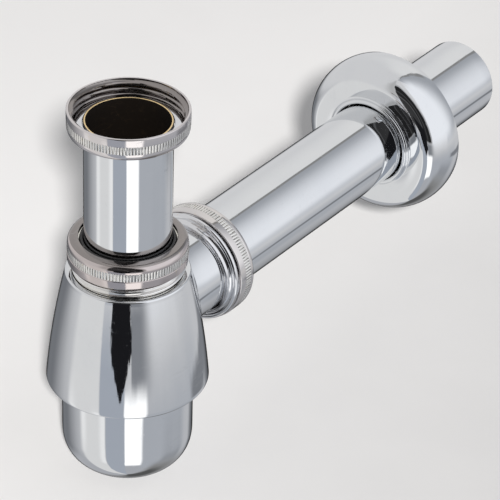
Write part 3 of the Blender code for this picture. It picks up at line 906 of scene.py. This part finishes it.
COOL = (0.94, 0.98, 1.06)
BLUE = (0.9, 0.97, 1.1)
light = blend(tree, fit(tree, elevation, -60, 5), (0.45, 0.46, 0.49), (0.72, 0.72, 0.73))
for limits in (
    (88, 198, -46, -15, (8, 26), 7, 0.2, COOL),     # shade behind the piece, and the dim corner beside it
    (-138, -91, -95, -2, (5, 2), 12, 0.78),         # pale wall left of the camera
    (-140, -129, -36, -27, (5, 5), 4, 0.93),        # its bright edge
    (103, 149, -50, -16, 9, 8, 0.025),               # dark gap behind the piece, seen along its outlines
    (-101, -92, -48, -28, (5, 1), 4, 0.95),         # a lit strip at its other edge
    (-90.5, -56, -100, -12, (0.8, 1.5), 8, 0.46, BLUE),   # gap in the shade of the camera
    (-26, 62, -60, -24, (3, 12), 9, 0.49, COOL),    # table on the right
    (15, 60, -50, -36, 9, 6, 0.36, COOL),
    (0, 150, -95, -50, 14, 12, 0.26),
    (15, 132, -95, -66, 10, 7, 0.1),
    (48, 100, -31, -27, 6, 1, 0.24, COOL),          # the table's far edge
    (34, 92, -12, 100, (2, 0.8), 6, 0.42, COOL),    # wall beyond the large soft box
    (-22, 59, -9, 78, (5, 25), 12, 1.0, (0.975, 0.995, 1.04)),  # large soft box
    (85.5, 92, 26, 90, 1.5, 4, 0.27),
    (92, 128, 22, 70, (1, 20), 10, 0.82),           # lit wall behind
    (-104, -86, 2, 90, 8, 10, 0.5),                 # shaded edge of the dark card
    (-47, -22, -22, -7, (1, 12), 3, 0.27, COOL),
):
    light = panel(light, *limits)

# The dark side of the studio, behind the camera: curved bands of black cloth with paler gaps between them.
CARD_AT, CARD_UP, CARD_WIDE, CARD_HIGH = -75.0, 5.0, 50.0, 63.0
card_x = calc(tree, "DIVIDE", degrees_past(CARD_AT), CARD_WIDE)
card_y = calc(tree, "DIVIDE", calc(tree, "SUBTRACT", elevation, CARD_UP), CARD_HIGH)
card_far = calc(tree, "ADD", product(tree, card_x, card_x), product(tree, card_y, card_y))
card_far = calc(tree, "SQRT", card_far)
BANDS_REACH = 1.2
bands = add(tree, "ShaderNodeValToRGB", {"Fac": calc(tree, "DIVIDE", card_far, BANDS_REACH)})
stops = (
    (0.0, 0.05), (0.45, 0.04), (0.48, 0.12), (0.52, 0.1), (0.54, 0.02), (0.7, 0.03),
    (0.73, 0.09), (0.77, 0.02), (1.0, 0.02), (1.03, 0.42), (1.1, 0.5),
)
ramp = bands.color_ramp.elements
for i, (distance, level) in enumerate(stops):
    stop = ramp[i] if i < 2 else ramp.new(distance / BANDS_REACH)
    stop.position = distance / BANDS_REACH
    stop.color = (level, level, level * 1.03, 1)
card = product(
    tree,
    fit(tree, card_far, 1.09, 1.13, 1.0, 0.0),
    fit(tree, elevation, -8, -4),
    fit(tree, azimuth, -90, -87))
light = blend(tree, card, light, bands.outputs["Color"])
# Its lowest fold hangs down in a ragged point.
FOLD_AT, FOLD_HALF, RAGGED = -62, 15.5, 7.0
fold_width = fit(tree, elevation, -24.5, -14.5, 0.05, 1.0)
ragged = product(tree, calc(tree, "SUBTRACT", noise(tree, unit, 22.0, 2.0), 0.5), RAGGED)
fold_side = calc(tree, "ADD", calc(tree, "ABSOLUTE", degrees_past(FOLD_AT)), ragged)
fold = calc(tree, "DIVIDE", fold_side, product(tree, fold_width, FOLD_HALF))
fold = product(
    tree,
    fit(tree, fold, 0.94, 1.04, 1.0, 0.0),
    fit(tree, elevation, 8, 12, 1.0, 0.0),
    fit(tree, elevation, -23.6, -23.0))
light = blend(tree, fold, light, (0.012, 0.012, 0.014))
# A bright strip light low on one side. Matt surfaces get less of all this light than the chrome does.
light = panel(light, -56, -25, -49, -22.5, (1.2, 3), 2.5, 1.35)
DIFFUSE_SHARE = 0.5
background = tree.nodes["Background"].inputs
tree.links.new(light, background["Color"])
scattered = add(tree, "ShaderNodeLightPath").outputs["Is Diffuse Ray"]
tree.links.new(fit(tree, scattered, 0.0, 1.0, 1.0, DIFFUSE_SHARE, "LINEAR"), background["Strength"])

# The camera looks down at the trap from its front right, with a long lens.
VIEW_AZIMUTH, VIEW_ELEVATION, VIEW_ROLL = math.radians(35.74), math.radians(32.89), math.radians(1.59)
flat_away = Vector((math.sin(VIEW_AZIMUTH), -math.cos(VIEW_AZIMUTH), 0))
away = flat_away * math.cos(VIEW_ELEVATION) + Vector((0, 0, math.sin(VIEW_ELEVATION)))
level_right = Vector((math.cos(VIEW_AZIMUTH), math.sin(VIEW_AZIMUTH), 0))
level_up = away.cross(level_right)
right = level_right * math.cos(VIEW_ROLL) + level_up * math.sin(VIEW_ROLL)
up = level_up * math.cos(VIEW_ROLL) - level_right * math.sin(VIEW_ROLL)
VIEW_LEFT, VIEW_UP, VIEW_DISTANCE = -0.04242, -0.04961, 1.15117
nut_top = Vector((0, 0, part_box("inlet_union_nut")[1].z))
place = nut_top + up * VIEW_UP - right * VIEW_LEFT + away * VIEW_DISTANCE
turn = Matrix((right, up, away)).transposed()
camera_data = bpy.data.cameras.new("camera")
camera = bpy.data.objects.new("camera", camera_data)
bpy.context.scene.collection.objects.link(camera)
camera.matrix_world = Matrix.Translation(place) @ turn.to_4x4()
camera_data.sensor_width = 36
camera_data.lens = 237.2
camera_data.clip_start = 0.1
bpy.context.scene.camera = camera

# One soft round lamp near the camera; the chrome doesn't show it.
lamp_data = bpy.data.lights.new("lamp", "AREA")
lamp_data.shape = "DISK"
lamp_data.size = 0.2
lamp_data.energy = 112.0
lamp_data.color = (1.0, 0.988, 0.975)
lamp = bpy.data.objects.new("lamp", lamp_data)
bpy.context.scene.collection.objects.link(lamp)
LAMP_AWAY = 3.0
LAMP_AIM = Vector((0, 0.03, -0.07))
lamp_from = LAMP_AIM + (away + right * 0.062 + up * 0.01).normalized() * LAMP_AWAY
lamp.matrix_world = Matrix.Translation(lamp_from) @ turn.to_4x4()
lamp.visible_glossy = False
bpy.context.scene.view_settings.view_transform = "Standard"
